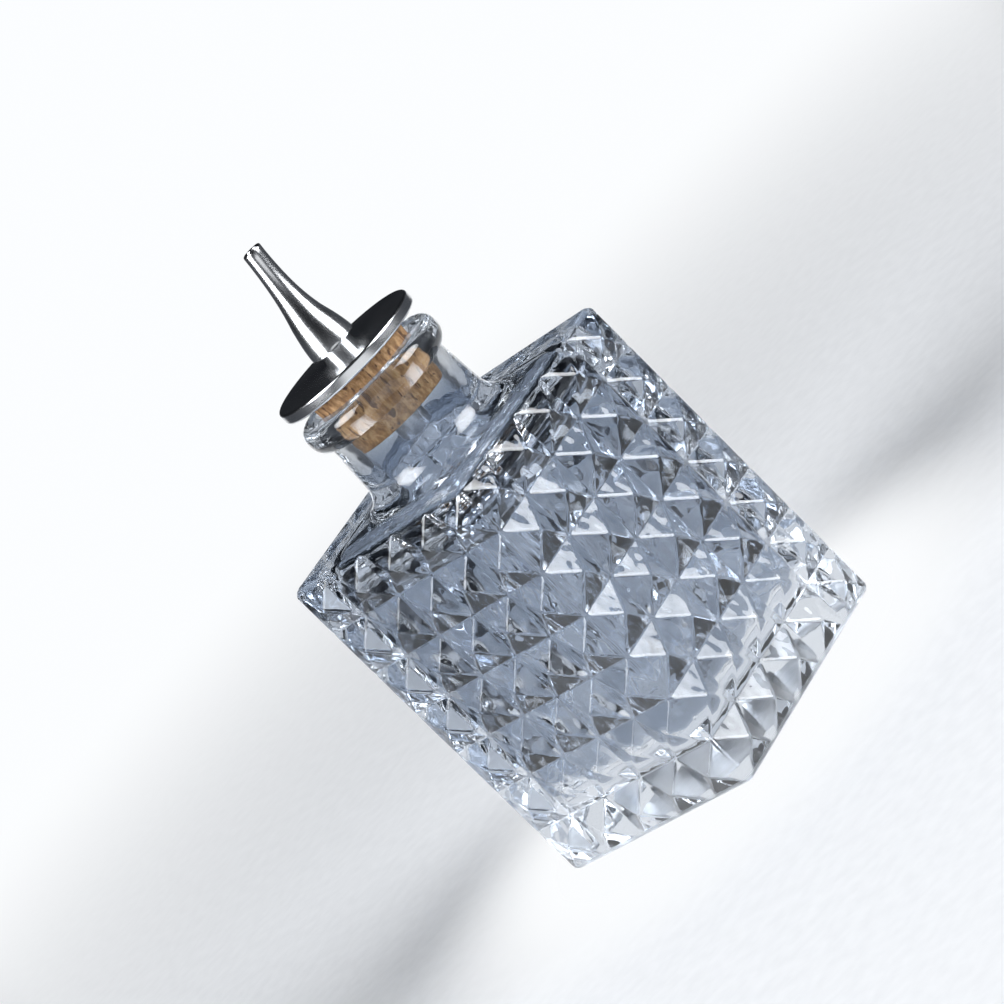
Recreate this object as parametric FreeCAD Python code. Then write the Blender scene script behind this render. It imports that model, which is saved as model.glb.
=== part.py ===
import FreeCAD, Part
import math
import os

from FreeCAD import Vector

# Square bitters bottle of pressed glass, with a cork stopper that carries a steel dasher.
# Millimetres, +Z up, origin in the middle of the base. The glass walls face along X and Y.

# Glass body: a square prism whose four walls are covered with four-sided studs.
body_width = 50.0  # across two walls, at the bottom of the grooves between studs
body_height = 70.0  # base to shoulder
stud_columns = 5  # studs across one wall
stud_rows = 7  # studs up one wall
stud_height = 2.0  # groove bottom to stud tip
corner_flat = 0.8  # width of the narrow flat along each upright corner
shoulder_edge_radius = 4.5  # rounding over the top row of studs
heel_radius = 3.5  # rounding under the bottom row of studs
rounding_standoff = 0.2  # both roundings spring from a plane this far outside the stud tips

# Inside of the glass body.
wall = 4.0  # groove bottom to cavity
base_thickness = 11.0
shoulder_thickness = 4.0
cavity_corner_radius = 6.0
cavity_floor_radius = 4.0
cavity_roof_radius = 5.0
punt_radius = 17.0  # shallow hollow under the base
punt_depth = 0.9

# Neck and lip.
neck_height = 13.1  # shoulder to the underside of the lip
neck_foot_radius = 13.7  # outside radius where the neck meets the shoulder fillet
neck_top_radius = 12.9
neck_fillet = 4.5
throat_rounding = 5.0  # inner edge between cavity and neck
lip_radius = 15.1
lip_height = 5.7
lip_under_rise = 3.0  # height of the rounded underside of the lip
lip_top_round = 1.8
mouth_round = 0.9

# Cork: a plain taper with a drilled hole.
cork_length = 12.1
cork_bottom_radius = 9.55
cork_top_radius = 10.5
cork_proud = 2.8  # height of cork above the lip
cork_chamfer = 0.4
cork_clearance = 0.1  # cork to glass, all round
seat_below_cork = 0.5  # the tapered seat in the neck goes this far below the cork

# Steel dasher: a tube through the cork, a round disc on it and a spout on its upper end.
stem_radius = 3.2
stem_bore_radius = 2.5
stem_drop = 4.7  # tube below the cork
stem_clearance = 0.06  # tube in the cork, so that the dasher can be turned
joint_gap = 0.02  # pressed and soldered steel joints
disc_radius = 15.0
disc_thickness = 2.2
disc_edge_radius = 1.0
stem_showing = 1.8  # bare tube between disc and spout
spout_length = 21.3
spout_base_radius = 4.65
spout_tip_radius = 1.9
spout_socket_depth = 4.0  # how deep the spout is bored for the tube
socket_end_gap = 0.1  # tube end to socket end
spout_throat_radius = 2.2
spout_bore_radius = 1.25
spout_tip_round = 0.35
spout_tip_offset = 1.5  # the slim end is bent sideways by this much
spout_bend_heading = 49.0  # direction of that bend, in degrees from +X towards +Y

# Plug with a fine hole in the lower end of the tube, which meters the dash.
plug_length = 4.0
plug_recess = 0.4
plug_hole_radius = 0.8
plug_mouth_radius = 1.7

# The spout's outline: share of its length, share of its flare left, share of the bend reached.
spout_stations = (
    (0.00, 1.00, 0.00),
    (0.20, 0.77, 0.00),
    (0.37, 0.44, 0.06),
    (0.50, 0.20, 0.25),
    (0.70, 0.06, 0.55),
    (1.00, 0.00, 1.00),
)

# Heights and slopes that follow from the sizes above.
half_width = body_width / 2
cavity_roof = body_height - shoulder_thickness
lip_bottom = body_height + neck_height
lip_top = lip_bottom + lip_height
cork_top = lip_top + cork_proud
cork_bottom = cork_top - cork_length
cork_slope = (cork_top_radius - cork_bottom_radius) / cork_length
disc_top = cork_top + disc_thickness
spout_base = disc_top + stem_showing
stem_bottom = cork_bottom - stem_drop
stem_top = spout_base + spout_socket_depth - socket_end_gap

overrun = 1.0  # how far a cutting or joining solid runs past the face that it cuts or joins


def polygon_face(points):
    return Part.Face(Part.makePolygon([*points, points[0]]))


def line(start, end):
    return Part.LineSegment(Vector(start[0], 0, start[1]), Vector(end[0], 0, end[1])).toShape()


def arc(start, end, centre):
    """The shorter arc in the XZ plane from start to end, about centre."""
    radius = math.dist(start, centre)
    aim = [start[i] + end[i] - 2 * centre[i] for i in (0, 1)]
    middle = [centre[i] + aim[i] * radius / math.hypot(*aim) for i in (0, 1)]
    return Part.Arc(*[Vector(x, 0, z) for x, z in (start, middle, end)]).toShape()


def turned(edges):
    """Solid of revolution about Z from the edges of a closed outline in the XZ plane."""
    outline = Part.Face(Part.Wire(edges))
    return outline.revolve(Vector(0, 0, 0), Vector(0, 0, 1), 360)


def turned_polygon(points):
    closed = [*points, points[0]]
    return turned([line(a, b) for a, b in zip(closed, closed[1:])])


def cylinder(radius, bottom, top):
    return Part.makeCylinder(radius, top - bottom, Vector(0, 0, bottom))


def stud_block_edge(column):
    """Place across a wall of the groove left of a column, drawn in at the two corners."""
    trim = corner_flat / math.sqrt(2)
    across = -half_width + column * body_width / stud_columns
    return max(min(across, half_width - trim), -half_width + trim)


def studded_wall(turn):
    """Faces of one wall: a grid of pyramids, plain strips above and below, one corner flat."""
    pitch_across = body_width / stud_columns
    pitch_up = body_height / stud_rows

    def place(across, height, out=0):
        return turn.multVec(Vector(half_width + out, across, height))

    def node(column, row):
        return place(stud_block_edge(column), row * pitch_up)

    faces = []
    for column in range(stud_columns):
        for row in range(stud_rows):
            across = -half_width + (column + 0.5) * pitch_across
            tip = place(across, (row + 0.5) * pitch_up, stud_height)
            ring = [node(column + i, row + j) for i, j in ((0, 0), (1, 0), (1, 1), (0, 1))]
            for i in range(4):
                faces.append(polygon_face([ring[i], ring[(i + 1) % 4], tip]))

    ends = (-overrun, body_height + overrun)
    for row, height in zip((0, stud_rows), ends):
        edge = [node(column, row) for column in range(stud_columns + 1)]
        strip_end = [place(stud_block_edge(column), height) for column in (stud_columns, 0)]
        faces.append(polygon_face([*edge, *strip_end]))

    quarter = FreeCAD.Rotation(Vector(0, 0, 1), 90)
    heights = [ends[0], *[row * pitch_up for row in range(stud_rows + 1)], ends[1]]
    near = [place(stud_block_edge(stud_columns), height) for height in heights]
    far = [
        turn.multVec(quarter.multVec(Vector(half_width, stud_block_edge(0), height)))
        for height in reversed(heights)
    ]
    faces.append(polygon_face([*near, *far]))
    return faces


def studded_prism():
    turns = [FreeCAD.Rotation(Vector(0, 0, 1), 90 * quarter) for quarter in range(4)]
    faces = [face for turn in turns for face in studded_wall(turn)]
    for height in (-overrun, body_height + overrun):
        ends = (stud_block_edge(0), stud_block_edge(stud_columns))
        rim = [turn.multVec(Vector(half_width, across, height)) for turn in turns for across in ends]
        faces.append(polygon_face(rim))
    shell = Part.makeCompound(faces)
    shell.sewShape()
    solid = Part.makeSolid(shell.Shells[0])
    if solid.Volume < 0:
        solid.reverse()
    return solid


def rounded_bar(reach, turn):
    """Long bar along Y, or along X when turned, with rounded upper and lower edges."""
    top_flat = reach - shoulder_edge_radius
    bottom_flat = reach - heel_radius
    top_spring = body_height - shoulder_edge_radius
    outline = Part.Wire([
        line((-bottom_flat, 0), (bottom_flat, 0)),
        arc((bottom_flat, 0), (reach, heel_radius), (bottom_flat, heel_radius)),
        line((reach, heel_radius), (reach, top_spring)),
        arc((reach, top_spring), (top_flat, body_height), (top_flat, top_spring)),
        line((top_flat, body_height), (-top_flat, body_height)),
        arc((-top_flat, body_height), (-reach, top_spring), (-top_flat, top_spring)),
        line((-reach, top_spring), (-reach, heel_radius)),
        arc((-reach, heel_radius), (-bottom_flat, 0), (-bottom_flat, heel_radius)),
    ])
    bar = Part.Face(outline).extrude(Vector(0, 2 * body_width, 0))
    bar.translate(Vector(0, -body_width, 0))
    bar.rotate(Vector(0, 0, 0), Vector(0, 0, 1), turn)
    return bar


def bottle_blank():
    """The studded body, with shoulder and heel rounded along each wall."""
    reach = half_width + stud_height + rounding_standoff
    return studded_prism().common(rounded_bar(reach, 0)).common(rounded_bar(reach, 90))


def neck_and_lip():
    """Solid neck: fillet out of the shoulder, slight taper, then the bead of the lip."""
    root = body_height - overrun
    fillet_out = neck_foot_radius + neck_fillet
    fillet_top = body_height + neck_fillet
    side_bottom = lip_bottom + lip_under_rise
    side_top = lip_top - lip_top_round
    top_edge = lip_radius - lip_top_round
    overhang = lip_radius - neck_top_radius
    under_centre = lip_radius - (overhang**2 + lip_under_rise**2) / (2 * overhang)
    return turned([
        line((0, root), (fillet_out, root)),
        line((fillet_out, root), (fillet_out, body_height)),
        arc((fillet_out, body_height), (neck_foot_radius, fillet_top), (fillet_out, fillet_top)),
        line((neck_foot_radius, fillet_top), (neck_top_radius, lip_bottom)),
        arc((neck_top_radius, lip_bottom), (lip_radius, side_bottom), (under_centre, side_bottom)),
        line((lip_radius, side_bottom), (lip_radius, side_top)),
        arc((lip_radius, side_top), (top_edge, lip_top), (top_edge, side_top)),
        line((top_edge, lip_top), (0, lip_top)),
        line((0, lip_top), (0, root)),
    ])


def cork_radius_at(height):
    return cork_bottom_radius + (height - cork_bottom) * cork_slope


def mouth_and_throat():
    """What the neck leaves open: rounded mouth, tapered seat for the cork, plain throat."""
    root = cavity_roof - overrun
    seat_bottom = cork_bottom - seat_below_cork
    seat_top = lip_top - mouth_round
    throat_radius = cork_radius_at(seat_bottom) + cork_clearance
    seat_top_radius = cork_radius_at(seat_top) + cork_clearance
    mouth_radius = seat_top_radius + mouth_round
    flare_radius = throat_radius + throat_rounding
    flare_top = cavity_roof + throat_rounding
    return turned([
        line((0, root), (flare_radius, root)),
        line((flare_radius, root), (flare_radius, cavity_roof)),
        arc((flare_radius, cavity_roof), (throat_radius, flare_top), (flare_radius, flare_top)),
        line((throat_radius, flare_top), (throat_radius, seat_bottom)),
        line((throat_radius, seat_bottom), (seat_top_radius, seat_top)),
        arc((seat_top_radius, seat_top), (mouth_radius, lip_top), (mouth_radius, seat_top)),
        line((mouth_radius, lip_top), (mouth_radius, lip_top + overrun)),
        line((mouth_radius, lip_top + overrun), (0, lip_top + overrun)),
        line((0, lip_top + overrun), (0, root)),
    ])


def rim_edges(box, height):
    return [e for e in box.Edges if all(abs(v.Z - height) < 1e-6 for v in e.Vertexes)]


def cavity():
    """The room inside the body, rounded along every edge, and the way out of it."""
    half = half_width - wall
    depth = cavity_roof - base_thickness
    room = Part.makeBox(2 * half, 2 * half, depth, Vector(-half, -half, base_thickness))
    uprights = [e for e in room.Edges if e.Vertexes[0].Z != e.Vertexes[1].Z]
    room = room.makeFillet(cavity_corner_radius, uprights)
    room = room.makeFillet(cavity_roof_radius, rim_edges(room, cavity_roof))
    room = room.makeFillet(cavity_floor_radius, rim_edges(room, base_thickness))
    return room.fuse(mouth_and_throat())


def punt():
    """Shallow dome-shaped hollow that lifts the middle of the base off the table."""
    ball_radius = (punt_radius**2 + punt_depth**2) / (2 * punt_depth)
    return Part.makeSphere(ball_radius, Vector(0, 0, punt_depth - ball_radius))


def glass_bottle():
    return bottle_blank().fuse(neck_and_lip()).cut(cavity()).cut(punt())


def cork_stopper():
    body = turned_polygon([
        (0, cork_bottom),
        (cork_bottom_radius - cork_chamfer, cork_bottom),
        (cork_radius_at(cork_bottom + cork_chamfer), cork_bottom + cork_chamfer),
        (cork_radius_at(cork_top - cork_chamfer), cork_top - cork_chamfer),
        (cork_top_radius - cork_chamfer, cork_top),
        (0, cork_top),
    ])
    return body.cut(cylinder(stem_radius + stem_clearance, cork_bottom - overrun, cork_top + overrun))


def dasher_disc():
    """Flat disc with a rounded edge, pressed on the tube and lying on the cork."""
    flat_radius = disc_radius - disc_edge_radius
    low = cork_top + disc_edge_radius
    high = disc_top - disc_edge_radius
    body = turned([
        line((0, cork_top), (flat_radius, cork_top)),
        arc((flat_radius, cork_top), (disc_radius, low), (flat_radius, low)),
        line((disc_radius, low), (disc_radius, high)),
        arc((disc_radius, high), (flat_radius, disc_top), (flat_radius, high)),
        line((flat_radius, disc_top), (0, disc_top)),
        line((0, disc_top), (0, cork_top)),
    ])
    return body.cut(cylinder(stem_radius + joint_gap, cork_top - overrun, disc_top + overrun))


def stem_tube():
    outside = cylinder(stem_radius, stem_bottom, stem_top)
    return outside.cut(cylinder(stem_bore_radius, stem_bottom - overrun, stem_top + overrun))


def spout_ring(share, bend, radius):
    heading = math.radians(spout_bend_heading)
    aside = spout_tip_offset * bend
    height = spout_base + share * spout_length
    centre = Vector(aside * math.cos(heading), aside * math.sin(heading), height)
    return Part.Wire(Part.makeCircle(radius, centre))


def dasher_spout():
    """Turned spout: flared foot bored for the tube, slim bent end with a round lip."""
    flare = spout_base_radius - spout_tip_radius
    narrowing = spout_throat_radius - spout_bore_radius
    past_tip = overrun / spout_length
    outer = []
    inner = []
    for share, flare_left, bend in spout_stations:
        outer.append(spout_ring(share, bend, spout_tip_radius + flare_left * flare))
        inner.append(spout_ring(share, bend, spout_throat_radius - share * narrowing))
    inner.append(spout_ring(1 + past_tip, 1 + past_tip, spout_bore_radius))
    body = Part.makeLoft(outer, True, False)
    tip = [e for e in body.Edges if abs(e.BoundBox.ZMin - spout_base - spout_length) < 1e-3]
    body = body.makeFillet(spout_tip_round, tip[:1])
    socket = cylinder(stem_radius + joint_gap, spout_base - overrun, spout_base + spout_socket_depth)
    return body.cut(Part.makeLoft(inner, True, False)).cut(socket)


def dash_plug():
    """Metering plug: a fine hole with a funnel at its lower end."""
    low = stem_bottom + plug_recess
    high = low + plug_length
    funnel_top = low + plug_mouth_radius - plug_hole_radius
    return turned_polygon([
        (plug_mouth_radius, low),
        (stem_bore_radius - joint_gap, low),
        (stem_bore_radius - joint_gap, high),
        (plug_hole_radius, high),
        (plug_hole_radius, funnel_top),
    ])


pieces = {
    "glass_bottle": glass_bottle,
    "cork_stopper": cork_stopper,
    "dasher_disc": dasher_disc,
    "stem_tube": stem_tube,
    "dasher_spout": dasher_spout,
    "dash_plug": dash_plug,
}

os.makedirs("parts", exist_ok=True)
for name, make in pieces.items():
    shape = make()
    shape.exportStep(f"parts/{name}.step")
    print(name, "solids", len(shape.Solids), "volume", round(shape.Volume, 1), "valid", shape.isValid())
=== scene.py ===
import math

import bmesh
import bpy
from mathutils import Matrix, Vector, noise
from mathutils.geometry import interpolate_bezier


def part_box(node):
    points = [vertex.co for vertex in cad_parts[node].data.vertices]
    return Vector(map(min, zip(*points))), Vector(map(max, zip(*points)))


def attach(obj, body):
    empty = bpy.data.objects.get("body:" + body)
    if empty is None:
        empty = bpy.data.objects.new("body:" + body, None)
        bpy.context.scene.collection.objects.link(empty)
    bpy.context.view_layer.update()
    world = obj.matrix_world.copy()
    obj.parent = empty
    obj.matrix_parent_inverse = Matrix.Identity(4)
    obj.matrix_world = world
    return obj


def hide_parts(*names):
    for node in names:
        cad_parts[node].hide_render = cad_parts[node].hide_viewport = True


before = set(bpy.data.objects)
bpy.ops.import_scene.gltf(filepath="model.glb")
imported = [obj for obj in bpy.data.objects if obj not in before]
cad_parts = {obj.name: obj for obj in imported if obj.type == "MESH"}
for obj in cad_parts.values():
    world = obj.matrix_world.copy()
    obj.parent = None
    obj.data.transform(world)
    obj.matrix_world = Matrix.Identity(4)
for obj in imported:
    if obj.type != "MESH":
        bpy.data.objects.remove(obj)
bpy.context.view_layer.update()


# The bottle: one piece of clear pressed glass. The mould gave its four walls a grid of low
# pyramids, and the neck with its beaded lip was tooled round above a flat shoulder. The
# glass is tinted with painted shade, the walls darker than the lip, for the tone that they
# have in the photo.
glass_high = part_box("glass_bottle")[1]
cork_low, cork_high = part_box("cork_stopper")
stud_rise = 0.002
stud_columns = 5
stud_rows = 7
wall_face = glass_high.x - stud_rise
shoulder_height = 0.070
neck_height = 0.0131
neck_foot_radius = 0.0137
neck_top_radius = 0.0129
neck_fillet = 0.0045
lip_radius = 0.0151
lip_under_rise = 0.003
lip_top_round = 0.0018
mouth_round = 0.0009
cork_gap = 0.0001
seat_below_cork = 0.0005
cork_bottom_radius = 0.00955
cork_top_radius = cork_high.x
wall_thickness = 0.004
base_thickness = 0.011
roof_thickness = 0.004
room_corner = 0.006
room_floor_round = 0.004
room_roof_round = 0.005
throat_rounding = 0.005
punt_radius = 0.017
punt_depth = 0.0009
round_steps = 80
ridge_round = 0.00045
groove_round = 0.0002
corner_round = 0.0006
rim_round = 0.0012
heel_round = 0.0008
inner_wave = 0.00036
long_wave = 160
short_wave = 420
stud_echo = 0.00010
room_cuts = 35
glass_bending = 1.51
ripple_strength = 0.3
ripple_depth = 0.0004
smear_roughness = 0.02
stipple_roughness = 0.3
stippled_foot = (0.0010, 0.0014)
lip_start = (0.0775, 0.0805)
# Painted shade: these tints darken the walls, and the lip less, along with what is seen through
# them.
wall_painted_shade = (0.53, 0.58, 0.655, 1)
lip_painted_shade = (0.74, 0.77, 0.80, 1)


def pen_line(mesh, tip, radius, height):
    """Draws a straight stretch of a turned outline, and gives its far end."""
    tip = bmesh.ops.extrude_vert_indiv(mesh, verts=[tip])["verts"][0]
    tip.co = (radius, 0, height)
    return tip


def pen_arc(mesh, tip, radius, height, degrees, steps):
    """Swings the outline's end round a centre at this radius and height."""
    swung = bmesh.ops.spin(mesh, geom=[tip], cent=(radius, 0, height), axis=(0, 1, 0),
                           angle=math.radians(degrees), steps=steps)
    return swung["geom_last"][0]


def turn_outline(mesh, steps):
    """Turns the loose outline in the mesh full circle about the bottle's axis."""
    outline = [e for e in mesh.edges if not e.link_faces]
    ends = list({v for e in outline for v in e.verts})
    bmesh.ops.spin(mesh, geom=ends + outline, cent=(0, 0, 0), axis=(0, 0, 1),
                   angle=math.tau, steps=steps, use_merge=True)


def open_edges(mesh, low, high):
    """Edges of the mesh's openings between two heights."""
    return [e for e in mesh.edges
            if len(e.link_faces) == 1 and all(low < v.co.z < high for v in e.verts)]


def piece_from(mesh, name, material, body, node, slot):
    """Makes a finished mesh a piece that moves with its body in place of its node."""
    bmesh.ops.remove_doubles(mesh, verts=mesh.verts[:], dist=1e-7)
    bmesh.ops.recalc_face_normals(mesh, faces=mesh.faces[:])
    if mesh.calc_volume(signed=True) < 0:
        bmesh.ops.reverse_faces(mesh, faces=mesh.faces[:])
    for face in mesh.faces:
        face.smooth = True
    data = bpy.data.meshes.new(name)
    mesh.to_mesh(data)
    mesh.free()
    data.materials.append(material)
    piece = bpy.data.objects.new(name, data)
    bpy.context.scene.collection.objects.link(piece)
    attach(piece, body)
    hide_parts(node)
    return piece


def keep_flats_flat(piece):
    """Lets the large flat faces set the shading along their rounded edges."""
    even = piece.modifiers.new("even_flats", "WEIGHTED_NORMAL")
    even.keep_sharp = True
    even.weight = 100


class Shade:
    """A value in a material's nodes: sums on it add Math nodes, node() adds any other node."""

    def __init__(self, tree, socket=None):
        self.tree = tree
        self.socket = socket

    def node(self, kind, settings=None, inputs=None, output=0):
        made = self.tree.nodes.new("ShaderNode" + kind)
        for name, value in (settings or {}).items():
            if name == "stops":
                ramp = made.color_ramp
                for place, colour in value[2:]:
                    ramp.elements.new(place)
                for stop, (place, colour) in zip(ramp.elements, sorted(value)):
                    stop.position = place
                    stop.color = (*colour, 1)
            else:
                setattr(made, name, value)
        for name, value in (inputs or {}).items():
            if isinstance(value, Shade):
                self.tree.links.new(value.socket, made.inputs[name])
            else:
                made.inputs[name].default_value = value
        return Shade(self.tree, made.outputs[output])

    def sum(self, operation, first, second):
        return self.node("Math", {"operation": operation}, {0: first, 1: second})

    def __add__(self, other):
        return self.sum("ADD", self, other)

    def __radd__(self, other):
        return self.sum("ADD", other, self)

    def __sub__(self, other):
        return self.sum("SUBTRACT", self, other)

    def __rsub__(self, other):
        return self.sum("SUBTRACT", other, self)

    def __mul__(self, other):
        return self.sum("MULTIPLY", self, other)

    def __rmul__(self, other):
        return self.sum("MULTIPLY", other, self)


def new_finish(name):
    """An empty material, its nodes, its shader, and Object coordinates to paint by."""
    finish = bpy.data.materials.new(name)
    finish.use_nodes = True
    shader = finish.node_tree.nodes["Principled BSDF"]
    place = Shade(finish.node_tree).node("TexCoord", output="Object")
    return finish, shader, place


def feed(shade, shader, **sockets):
    """Links shades to a shader's inputs, named with underscores for spaces."""
    for name, value in sockets.items():
        shade.tree.links.new(value.socket, shader.inputs[name.replace("_", " ")])


def ease(value, start, end, low, high):
    """A smooth rise or fall of a shade between two of its values."""
    return value.node("MapRange", {"interpolation_type": "SMOOTHSTEP"}, {
        "Value": value, "From Min": start, "From Max": end, "To Min": low, "To Max": high})


def blend(factor, low, high):
    """A colour between two others."""
    return factor.node("Mix", {"data_type": "RGBA"}, {"Factor": factor, 6: low, 7: high},
                       output=2)


clear_glass, glass_shader, glass_place = new_finish("clear_glass")
glass_shader.inputs["Transmission Weight"].default_value = 1
glass_shader.inputs["IOR"].default_value = glass_bending
smears = glass_place.node("TexNoise", inputs={"Vector": glass_place, "Scale": 90, "Detail": 3})
ripple = glass_place.node("TexNoise", inputs={"Vector": glass_place, "Scale": 260, "Detail": 1})
glass_height = glass_place.node("SeparateXYZ", inputs={"Vector": glass_place}, output="Z")
stipple = ease(glass_height, *stippled_foot, stipple_roughness, 0)
lip_share = ease(glass_height, *lip_start, 0, 1)
# Base colour: painted shade, the darker wall tint below the lip and the lighter lip tint above it.
feed(glass_place, glass_shader, Base_Color=blend(lip_share, wall_painted_shade, lip_painted_shade),
     Roughness=smears * smear_roughness + stipple,
     Normal=glass_place.node("Bump", inputs={
         "Strength": ripple_strength, "Distance": ripple_depth, "Height": ripple}))

glass = bmesh.new()
onto_wall = Matrix(((0, 0, 1, wall_face), (2 * wall_face, 0, 0, 0),
                    (0, shoulder_height, 0, shoulder_height / 2), (0, 0, 0, 1)))
bmesh.ops.create_grid(glass, x_segments=stud_columns, y_segments=stud_rows, size=0.5,
                      matrix=onto_wall)
bmesh.ops.poke(glass, faces=glass.faces[:], offset=stud_rise, center_mode="MEAN")
bmesh.ops.spin(glass, geom=glass.verts[:] + glass.edges[:] + glass.faces[:], cent=(0, 0, 0),
               axis=(0, 0, 1), angle=math.radians(270), steps=3, use_duplicate=True)
bmesh.ops.remove_doubles(glass, verts=glass.verts[:], dist=1e-6)
rim_cuts = round_steps // (4 * stud_columns) - 1
bmesh.ops.subdivide_edges(glass, edges=open_edges(glass, -1, 1), cuts=rim_cuts)

lip_bottom = shoulder_height + neck_height
lip_top = glass_high.z
lean = math.atan2(neck_foot_radius - neck_top_radius, neck_height)
fillet_centre = neck_foot_radius + neck_fillet * (1 - math.sin(lean)) / math.cos(lean)
overhang = lip_radius - neck_top_radius
under_radius = (overhang ** 2 + lip_under_rise ** 2) / (2 * overhang)
under_turn = math.degrees(math.asin(lip_under_rise / under_radius))
cork_slope = (cork_top_radius - cork_bottom_radius) / (cork_high.z - cork_low.z)
seat_low = cork_low.z - seat_below_cork
seat_high = lip_top - mouth_round
throat_radius = cork_bottom_radius + (seat_low - cork_low.z) * cork_slope + cork_gap
seat_radius = cork_bottom_radius + (seat_high - cork_low.z) * cork_slope + cork_gap
roof_height = shoulder_height - roof_thickness
tip = glass.verts.new((fillet_centre, 0, shoulder_height))
tip = pen_arc(glass, tip, fillet_centre, shoulder_height + neck_fillet,
              90 - math.degrees(lean), 7)
tip = pen_line(glass, tip, neck_top_radius, lip_bottom)
tip = pen_arc(glass, tip, lip_radius - under_radius, lip_bottom + lip_under_rise, -under_turn, 6)
tip = pen_line(glass, tip, lip_radius, lip_top - lip_top_round)
tip = pen_arc(glass, tip, lip_radius - lip_top_round, lip_top - lip_top_round, -90, 6)
tip = pen_line(glass, tip, seat_radius + mouth_round, lip_top)
tip = pen_arc(glass, tip, seat_radius + mouth_round, seat_high, -90, 4)
tip = pen_line(glass, tip, throat_radius, seat_low)
tip = pen_line(glass, tip, throat_radius, roof_height + throat_rounding)
tip = pen_arc(glass, tip, throat_radius + throat_rounding, roof_height + throat_rounding, -90, 7)
turn_outline(glass, round_steps)

dome_radius = (punt_radius ** 2 + punt_depth ** 2) / (2 * punt_depth)
dome_turn = math.degrees(math.asin(punt_radius / dome_radius))
tip = glass.verts.new((punt_radius, 0, 0))
tip = pen_arc(glass, tip, 0, punt_depth - dome_radius, -dome_turn, 8)
turn_outline(glass, round_steps)
bmesh.ops.remove_doubles(glass, verts=glass.verts[:], dist=1e-6)
turned_parts = [v for v in glass.verts if max(abs(v.co.x), abs(v.co.y)) < wall_face - 1e-4]

room = bmesh.new()
room_half = wall_face - wall_thickness
room_depth = roof_height - base_thickness
bmesh.ops.create_cube(room, size=1, matrix=Matrix.LocRotScale(
    (0, 0, base_thickness + room_depth / 2), None, (2 * room_half, 2 * room_half, room_depth)))
upright_edges = [e for e in room.edges if abs(e.verts[0].co.z - e.verts[1].co.z) > room_half]
bmesh.ops.bevel(room, geom=upright_edges, offset=room_corner, segments=7, profile=0.5,
                affect="EDGES", material=-1)
for height, rounding in ((roof_height, room_roof_round), (base_thickness, room_floor_round)):
    level_edges = [e for e in room.edges if all(abs(v.co.z - height) < 1e-6 for v in e.verts)]
    bmesh.ops.bevel(room, geom=level_edges, offset=rounding, segments=6, profile=0.5,
                    affect="EDGES", material=-1)
long_edges = [e for e in room.edges if e.calc_length() > room_half]
bmesh.ops.subdivide_edges(room, edges=long_edges, cuts=room_cuts, use_grid_fill=True)
room.normal_update()
pitch_across = 2 * wall_face / stud_columns
pitch_up = shoulder_height / stud_rows
for vertex in room.verts:
    swing = noise.noise(vertex.co * long_wave) + 0.5 * noise.noise(vertex.co * short_wave)
    across = min(abs(vertex.co.x), abs(vertex.co.y))
    echo = (math.cos(math.tau * across / pitch_across)
            * -math.cos(math.tau * vertex.co.z / pitch_up))
    fade = min(1.0, max(0.0, (roof_height - room_roof_round - vertex.co.z) / room_roof_round))
    rise = min(1.0, max(0.0, (vertex.co.z - base_thickness - room_floor_round) / room_floor_round))
    vertex.co += vertex.normal * fade * (inner_wave * swing + stud_echo * echo * rise)
roof = [f for f in room.faces if all(abs(v.co.z - roof_height) < 1e-6 for v in f.verts)]
bmesh.ops.delete(room, geom=roof, context="FACES_ONLY")
room_data = bpy.data.meshes.new("room")
room.to_mesh(room_data)
room.free()
glass.from_mesh(room_data)
bpy.data.meshes.remove(room_data)

# Neck and base hollow are lifted clear while they are joined to the walls and the room,
# because loops that lie in one plane are joined with a twist.
lift = 0.003
bmesh.ops.translate(glass, vec=(0, 0, lift), verts=turned_parts)
for height in (shoulder_height, roof_height, 0):
    bmesh.ops.bridge_loops(glass, edges=open_edges(glass, height - 1e-5, height + lift + 1e-5))
bmesh.ops.translate(glass, vec=(0, 0, -lift), verts=turned_parts)

rounding = glass.edges.layers.float.new("bevel_weight_edge")
for edge in glass.edges:
    out = [max(abs(v.co.x), abs(v.co.y)) for v in edge.verts]
    across = [min(abs(v.co.x), abs(v.co.y)) for v in edge.verts]
    heights = [v.co.z for v in edge.verts]
    if min(out) < wall_face - 1e-5:
        continue
    if max(out) > wall_face + stud_rise / 2:
        edge[rounding] = ridge_round / rim_round
    elif min(heights) > shoulder_height - 1e-5:
        edge[rounding] = 1
    elif max(heights) < 1e-5:
        edge[rounding] = heel_round / rim_round
    elif min(across) > wall_face - 1e-5:
        edge[rounding] = corner_round / rim_round
    else:
        edge[rounding] = groove_round / rim_round
bottle = piece_from(glass, "bottle_glass", clear_glass, "bottle", "glass_bottle", "glass")
soft_edges = bottle.modifiers.new("soft_edges", "BEVEL")
soft_edges.limit_method = "WEIGHT"
soft_edges.width = rim_round
soft_edges.segments = 3
soft_edges.profile = 0.5
soft_edges.use_clamp_overlap = False
keep_flats_flat(bottle)


# The cork: a short tapered stopper cut from natural cork bark, pushed into the neck. Its
# skin is full of small dark pits, and the cut shows the bark's layers as paler streaks.
cork_chamfer = 0.0004
cork_hole = 0.0033
pit_edge = (0.59, 0.64)
pit_brown = (0.12, 0.055, 0.025, 1)
bark_browns = [(0.34, (0.19, 0.09, 0.035)), (0.66, (0.67, 0.425, 0.21)), (0.5, (0.41, 0.22, 0.09))]


def turned_piece(mesh, *terms):
    """A turned piece with crisp corners where its outline has them."""
    piece = piece_from(mesh, *terms)
    piece.data.set_sharp_from_angle(angle=math.radians(40))
    keep_flats_flat(piece)


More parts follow.
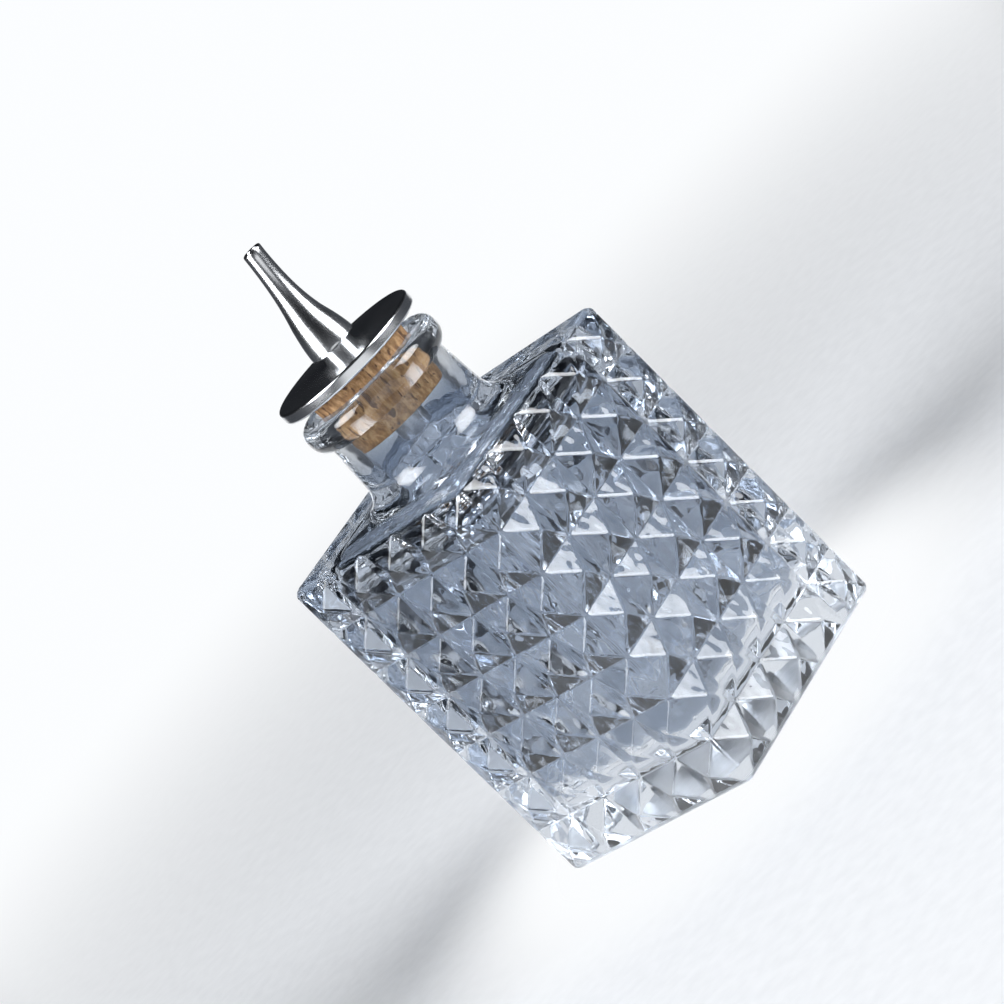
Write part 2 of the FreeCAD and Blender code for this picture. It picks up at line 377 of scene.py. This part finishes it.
natural_cork, cork_shader, cork_place = new_finish("natural_cork")
grain = cork_place.node("TexNoise", inputs={
    "Vector": cork_place.node("Mapping", inputs={"Vector": cork_place, "Scale": (1, 1, 0.45)}),
    "Scale": 1100, "Detail": 6, "Roughness": 0.7})
pits = cork_place.node("TexNoise", inputs={
    "Vector": cork_place.node("Mapping", inputs={"Vector": cork_place, "Scale": (1, 1, 0.6)}),
    "Scale": 900, "Detail": 2, "Roughness": 0.5})
pit_mask = cork_place.node("MapRange", {"clamp": True}, {
    "Value": pits, "From Min": pit_edge[0], "From Max": pit_edge[1], "To Min": 0.0, "To Max": 1.0})
bark = cork_place.node("ValToRGB", {"stops": bark_browns}, {"Fac": grain})
feed(cork_place, cork_shader, Base_Color=blend(pit_mask, bark, pit_brown),
     Roughness=0.85 - grain * 0.2,
     Normal=cork_place.node("Bump", inputs={"Strength": 0.7, "Distance": 0.0003,
                                            "Height": grain * 0.3 - pit_mask}))

cork = bmesh.new()
tip = cork.verts.new((cork_hole, 0, cork_low.z))
tip = pen_line(cork, tip, cork_bottom_radius - cork_chamfer, cork_low.z)
tip = pen_arc(cork, tip, cork_bottom_radius - cork_chamfer, cork_low.z + cork_chamfer, -90, 3)
tip = pen_line(cork, tip, cork_top_radius, cork_high.z - cork_chamfer)
tip = pen_arc(cork, tip, cork_top_radius - cork_chamfer, cork_high.z - cork_chamfer, -90, 3)
tip = pen_line(cork, tip, cork_hole, cork_high.z)
tip = pen_line(cork, tip, cork_hole, cork_low.z)
turn_outline(cork, 96)
turned_piece(cork, "natural_cork_stopper", natural_cork, "cork", "cork_stopper", "cork")


# The disc: turned from stainless steel and polished on all sides, with a rounded rim. It
# is pressed onto the tube, lies on the cork and keeps the thumb off the glass.
disc_low, disc_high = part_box("dasher_disc")
stem_low, stem_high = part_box("stem_tube")
stem_radius = stem_high.x
rim_curve = 0.00045
steel_colour = (0.74, 0.75, 0.77, 1)
polish = 0.16
wear = 0.08
polished_steel, steel_shader, steel_place = new_finish("polished_steel")
steel_shader.inputs["Metallic"].default_value = 1
steel_shader.inputs["Base Color"].default_value = steel_colour
rubbed = steel_place.node("TexNoise", inputs={"Vector": steel_place, "Scale": 130, "Detail": 4})
turned = steel_place.node("TexNoise", inputs={
    "Vector": steel_place.node("Mapping", inputs={"Vector": steel_place, "Scale": (0.05, 0.05, 1)}),
    "Scale": 6000, "Detail": 2})
feed(steel_place, steel_shader, Roughness=rubbed * wear + polish,
     Normal=steel_place.node("Bump", inputs={"Strength": 0.05, "Distance": 0.00005,
                                             "Height": turned}))

disc = bmesh.new()
disc_middle = (disc_low.z + disc_high.z) / 2
flat_half = (disc_high.z - disc_low.z) / 2 - rim_curve
tip = disc.verts.new((stem_radius, 0, disc_low.z))
tip = pen_line(disc, tip, disc_high.x - rim_curve, disc_low.z)
tip = pen_arc(disc, tip, disc_high.x - rim_curve, disc_middle - flat_half, -90, 6)
tip = pen_line(disc, tip, disc_high.x, disc_middle + flat_half)
tip = pen_arc(disc, tip, disc_high.x - rim_curve, disc_middle + flat_half, -90, 6)
tip = pen_line(disc, tip, stem_radius, disc_high.z)
tip = pen_line(disc, tip, stem_radius, disc_low.z)
turn_outline(disc, 128)
turned_piece(disc, "steel_disc", polished_steel, "dasher", "dasher_disc", "steel")


# The tube: drawn stainless steel, pushed through the cork and the disc. It carries the
# liquid from the plug in its lower end up to the spout.
stem_bore = 0.0025
stem_edge = 0.0002
stem = bmesh.new()
tip = stem.verts.new((stem_bore, 0, stem_low.z))
tip = pen_line(stem, tip, stem_radius - stem_edge, stem_low.z)
tip = pen_arc(stem, tip, stem_radius - stem_edge, stem_low.z + stem_edge, -90, 3)
tip = pen_line(stem, tip, stem_radius, stem_high.z)
tip = pen_line(stem, tip, stem_bore, stem_high.z)
tip = pen_line(stem, tip, stem_bore, stem_low.z)
turn_outline(stem, 64)
turned_piece(stem, "steel_tube", polished_steel, "dasher", "stem_tube", "steel")


# The spout: turned stainless steel, polished. It flares out to a foot that is pressed over
# the tube, and its slim upper half leans a little to one side.
spout_low, spout_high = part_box("dasher_spout")
spout_foot = spout_high.y
spout_length = spout_high.z - spout_low.z
spout_tip = 0.0019
spout_bore = 0.00125
spout_throat = 0.0022
socket_depth = 0.004
tip_round = 0.00035
foot_round = 0.0003
flare_pull = (0.0040, 0.0066)
slim_pull = 0.0080
tip_lean = 0.0015
lean_heading = math.radians(49)
lean_start = 0.3
lean_curve = 1.15
bore_steps = 8

spout = bmesh.new()
tip = spout.verts.new((stem_radius, 0, spout_low.z))
tip = pen_line(spout, tip, spout_foot - foot_round, spout_low.z)
tip = pen_arc(spout, tip, spout_foot - foot_round, spout_low.z + foot_round, -90, 3)
flare = interpolate_bezier((spout_foot, 0, spout_low.z + foot_round),
                           (flare_pull[0], 0, spout_low.z + flare_pull[1]),
                           (spout_tip, 0, spout_low.z + slim_pull),
                           (spout_tip, 0, spout_high.z - tip_round), 40)
for point in flare[1:]:
    tip = pen_line(spout, tip, point.x, point.z)
tip = pen_arc(spout, tip, spout_tip - tip_round, spout_high.z - tip_round, -90, 3)
tip = pen_line(spout, tip, spout_bore + tip_round, spout_high.z)
tip = pen_arc(spout, tip, spout_bore + tip_round, spout_high.z - tip_round, -90, 3)
for step in range(bore_steps):
    share = 1 - (step + 1) / bore_steps
    tip = pen_line(spout, tip, spout_bore + (spout_throat - spout_bore) * (1 - share),
                   spout_low.z + socket_depth + share * (spout_length - socket_depth - tip_round))
tip = pen_line(spout, tip, stem_radius, spout_low.z + socket_depth)
tip = pen_line(spout, tip, stem_radius, spout_low.z)
turn_outline(spout, 72)
for vertex in spout.verts:
    share = (vertex.co.z - spout_low.z) / spout_length
    sideways = tip_lean * max(0.0, (share - lean_start) / (1 - lean_start)) ** lean_curve
    vertex.co.x += sideways * math.cos(lean_heading)
    vertex.co.y += sideways * math.sin(lean_heading)
turned_piece(spout, "steel_spout", polished_steel, "dasher", "dasher_spout", "steel")


# The plug: a small moulded plastic bush in the tube's lower end. Its fine hole lets out
# one dash at a time.
plug_low, plug_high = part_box("dash_plug")
plug_hole = 0.0008
plug_mouth = 0.0017
plug_edge = 0.0002
white_plastic, plastic_shader, plastic_place = new_finish("white_plastic")
mould_grain = plastic_place.node("TexNoise", inputs={"Vector": plastic_place, "Scale": 1500})
feed(plastic_place, plastic_shader, Roughness=mould_grain * 0.2 + 0.3,
     Base_Color=plastic_place.node("ValToRGB", {"stops": [(0.3, (0.78, 0.78, 0.74)),
                                                          (0.7, (0.86, 0.86, 0.83))]},
                                   {"Fac": mould_grain}))
plug = bmesh.new()
tip = plug.verts.new((plug_mouth, 0, plug_low.z))
tip = pen_line(plug, tip, plug_high.x - plug_edge, plug_low.z)
tip = pen_arc(plug, tip, plug_high.x - plug_edge, plug_low.z + plug_edge, -90, 3)
tip = pen_line(plug, tip, plug_high.x, plug_high.z)
tip = pen_line(plug, tip, plug_hole, plug_high.z)
tip = pen_line(plug, tip, plug_hole, plug_low.z + plug_mouth - plug_hole)
tip = pen_line(plug, tip, plug_mouth, plug_low.z)
turn_outline(plug, 48)
turned_piece(plug, "metering_plug", white_plastic, "dasher", "dash_plug", "plug_plastic")


# The studio: a grey table with pale paper in a strip before and behind the bottle and in a
# painted pool of light round its foot, in a dark grey room. At the foot the table also glows
# white, as painted light. Two tall soft lamps stand at the sides, and their bright cloth
# shows in the steel and the glass.
camera_azimuth = math.radians(49.202)
camera_height = math.radians(11.765)
camera_roll = math.radians(-45.334)
camera_distance = 0.82589
lens_width = 173.83
aim_right = 0.001075
aim_height = 0.055931
back = Vector((math.sin(camera_azimuth) * math.cos(camera_height),
               -math.cos(camera_azimuth) * math.cos(camera_height), math.sin(camera_height)))
level = Vector((math.cos(camera_azimuth), math.sin(camera_azimuth), 0))
away = Vector((-math.sin(camera_azimuth), math.cos(camera_azimuth), 0))
aim = level * aim_right + Vector((0, 0, aim_height))


def stage_piece(mesh, name, material):
    """A table or lamp cloth of the studio, which is no part of the bottle."""
    data = bpy.data.meshes.new(name)
    mesh.to_mesh(data)
    mesh.free()
    data.materials.append(material)
    piece = bpy.data.objects.new(name, data)
    bpy.context.scene.collection.objects.link(piece)
    return piece


table_reach = 6.0
table_grey = (0.20, 0.21, 0.23, 1)
paper_whites = [(0.3, (0.80, 0.81, 0.83)), (0.7, (0.84, 0.85, 0.87))]
studio_grey = (0.06, 0.065, 0.075, 1)
studio_dark = (0.004, 0.005, 0.007, 1)
studio_fade = (0.03, 0.16)
lamp_white = (0.97, 0.985, 1, 1)
# Painted light: the table glows white within these distances of the bottle's foot.
foot_light = (0.04, 0.08)
# Painted pool of light: the paper is pale out to these distances from the bottle's foot.
painted_pool_edge = (0.05, 0.17)
strip_half = 0.07
strip_widening = 0.11
strip_edge = (1.5, 2.3)
far_reach = (0.12, 0.45)
table_finish, table_shader, table_place = new_finish("pale_table")
table_shader.inputs["Roughness"].default_value = 0.9
table_shader.inputs["Specular IOR Level"].default_value = 0.2


def how_far(place, direction):
    """How far a point lies to either side along a direction."""
    along = place.node("VectorMath", {"operation": "DOT_PRODUCT"}, {0: place, 1: direction},
                       output="Value")
    return place.sum("ABSOLUTE", along, 0)


reach = table_place.node("VectorMath", {"operation": "LENGTH"}, {0: table_place}, output="Value")
off_strip = table_place.sum("DIVIDE", how_far(table_place, level),
                            strip_half + strip_widening * how_far(table_place, away))
strip = ease(off_strip, *strip_edge, 1, 0)
# Painted light: where the white glow at the bottle's foot shows.
foot = ease(reach, *foot_light, 1, 0)
# The paper strip, joined with the painted pool of light round the foot.
paper_and_painted_pool = table_place.sum("MAXIMUM", strip, ease(reach, *painted_pool_edge, 1, 0))
speckle = table_place.node("TexNoise", inputs={"Vector": table_place, "Scale": 300})
paper = table_place.node("ValToRGB", {"stops": paper_whites}, {"Fac": speckle})
feed(table_place, table_shader, Base_Color=blend(paper_and_painted_pool, table_grey, paper))
seen = table_place.node("LightPath", output="Is Camera Ray")
mirrored = table_place.node("LightPath", output="Is Glossy Ray")
through = table_place.node("LightPath", output="Is Transmission Ray")
direct = table_place.sum("MINIMUM", seen + mirrored + through, 1)
# Glow colour: white in the strip and, as painted light, at the foot; grey elsewhere.
far_shade = blend(table_place.sum("MAXIMUM", strip, foot), studio_grey, lamp_white)
glow = table_place.node("Emission", inputs={"Color": far_shade, "Strength": 1})
# The glow shows at the foot as painted light, and far off as the backdrop.
table_mix = table_place.node("MixShader", inputs={
    0: direct * (foot + ease(reach, *far_reach, 0, 1)),
    1: Shade(table_finish.node_tree, table_shader.outputs[0]), 2: glow})
table_finish.node_tree.links.new(
    table_mix.socket, table_finish.node_tree.nodes["Material Output"].inputs["Surface"])
table = bmesh.new()
bmesh.ops.create_circle(table, cap_ends=True, segments=96, radius=table_reach)
stage_piece(table, "pale_table", table_finish)

surround = bpy.data.worlds.new("surround")
surround.use_nodes = True
sky = Shade(surround.node_tree)
ray = sky.node("TexCoord", output="Generated")
ray_height = sky.node("SeparateXYZ", inputs={"Vector": ray}, output="Z")
surround.node_tree.links.new(
    blend(ease(ray_height, *studio_fade, 0, 1), studio_grey, studio_dark).socket,
    surround.node_tree.nodes["Background"].inputs["Color"])
bpy.context.scene.world = surround

lamp_power = 6.0
lamp_width = 0.65
lamp_tall = 0.95
lamp_heading = 63
lamp_place = (0.85, 0.42)
lamp_spread = 120
cloth_white = 14
cloth_fade = (0.3, 0.62)
cloth_edge = (0.3, 0.305, 0.31, 1)
cloth_finish, cloth_shader, cloth_place = new_finish("lamp_cloth")
cloth_shader.inputs["Base Color"].default_value = (0, 0, 0, 1)
cloth_shader.inputs["Emission Strength"].default_value = cloth_white
from_middle = cloth_place.node("VectorMath", {"operation": "DISTANCE"}, {
    0: cloth_place.node("TexCoord", output="UV"), 1: (0.5, 0.5, 0)}, output="Value")
feed(cloth_place, cloth_shader, Emission_Color=blend(
    ease(from_middle, *cloth_fade, 0, 1), lamp_white, cloth_edge))
for side in (-1, 1):
    toward = Matrix.Rotation(math.radians(lamp_heading * side), 3, "Z") @ -away
    spot = aim + toward * lamp_place[0] + Vector((0, 0, lamp_place[1]))
    facing = (spot - aim).to_track_quat("Z", "Y")
    lamp_data = bpy.data.lights.new("soft_lamp", "AREA")
    lamp_data.shape = "RECTANGLE"
    lamp_data.size = lamp_width
    lamp_data.size_y = lamp_tall
    lamp_data.energy = lamp_power
    lamp_data.color = lamp_white[:3]
    lamp_data.spread = math.radians(lamp_spread)
    lamp = bpy.data.objects.new("soft_lamp", lamp_data)
    lamp.location = spot
    lamp.rotation_euler = facing.to_euler()
    lamp.visible_glossy = False
    lamp.visible_transmission = False
    bpy.context.scene.collection.objects.link(lamp)
    panel = bmesh.new()
    panel.loops.layers.uv.new("cloth")
    bmesh.ops.create_grid(panel, x_segments=1, y_segments=1, size=0.5, calc_uvs=True,
                          matrix=Matrix.LocRotScale(spot, facing, (lamp_width, lamp_tall, 1)))
    cloth = stage_piece(panel, "lamp_cloth", cloth_finish)
    cloth.visible_diffuse = False
    cloth.visible_shadow = False

camera_data = bpy.data.cameras.new("camera")
camera_data.sensor_width = 36
camera_data.lens = lens_width
camera_data.clip_start = 0.01
camera = bpy.data.objects.new("camera", camera_data)
upright = back.cross(level)
turned_right = level * math.cos(camera_roll) + upright * math.sin(camera_roll)
turned_up = upright * math.cos(camera_roll) - level * math.sin(camera_roll)
camera.matrix_world = Matrix.Translation(aim + back * camera_distance) @ Matrix(
    (turned_right, turned_up, back)).transposed().to_4x4()
bpy.context.scene.collection.objects.link(camera)
bpy.context.scene.camera = camera
bpy.context.scene.view_settings.view_transform = "Standard"
bpy.context.scene.cycles.max_bounces = 24
bpy.context.scene.cycles.transmission_bounces = 24
bpy.context.scene.cycles.glossy_bounces = 8
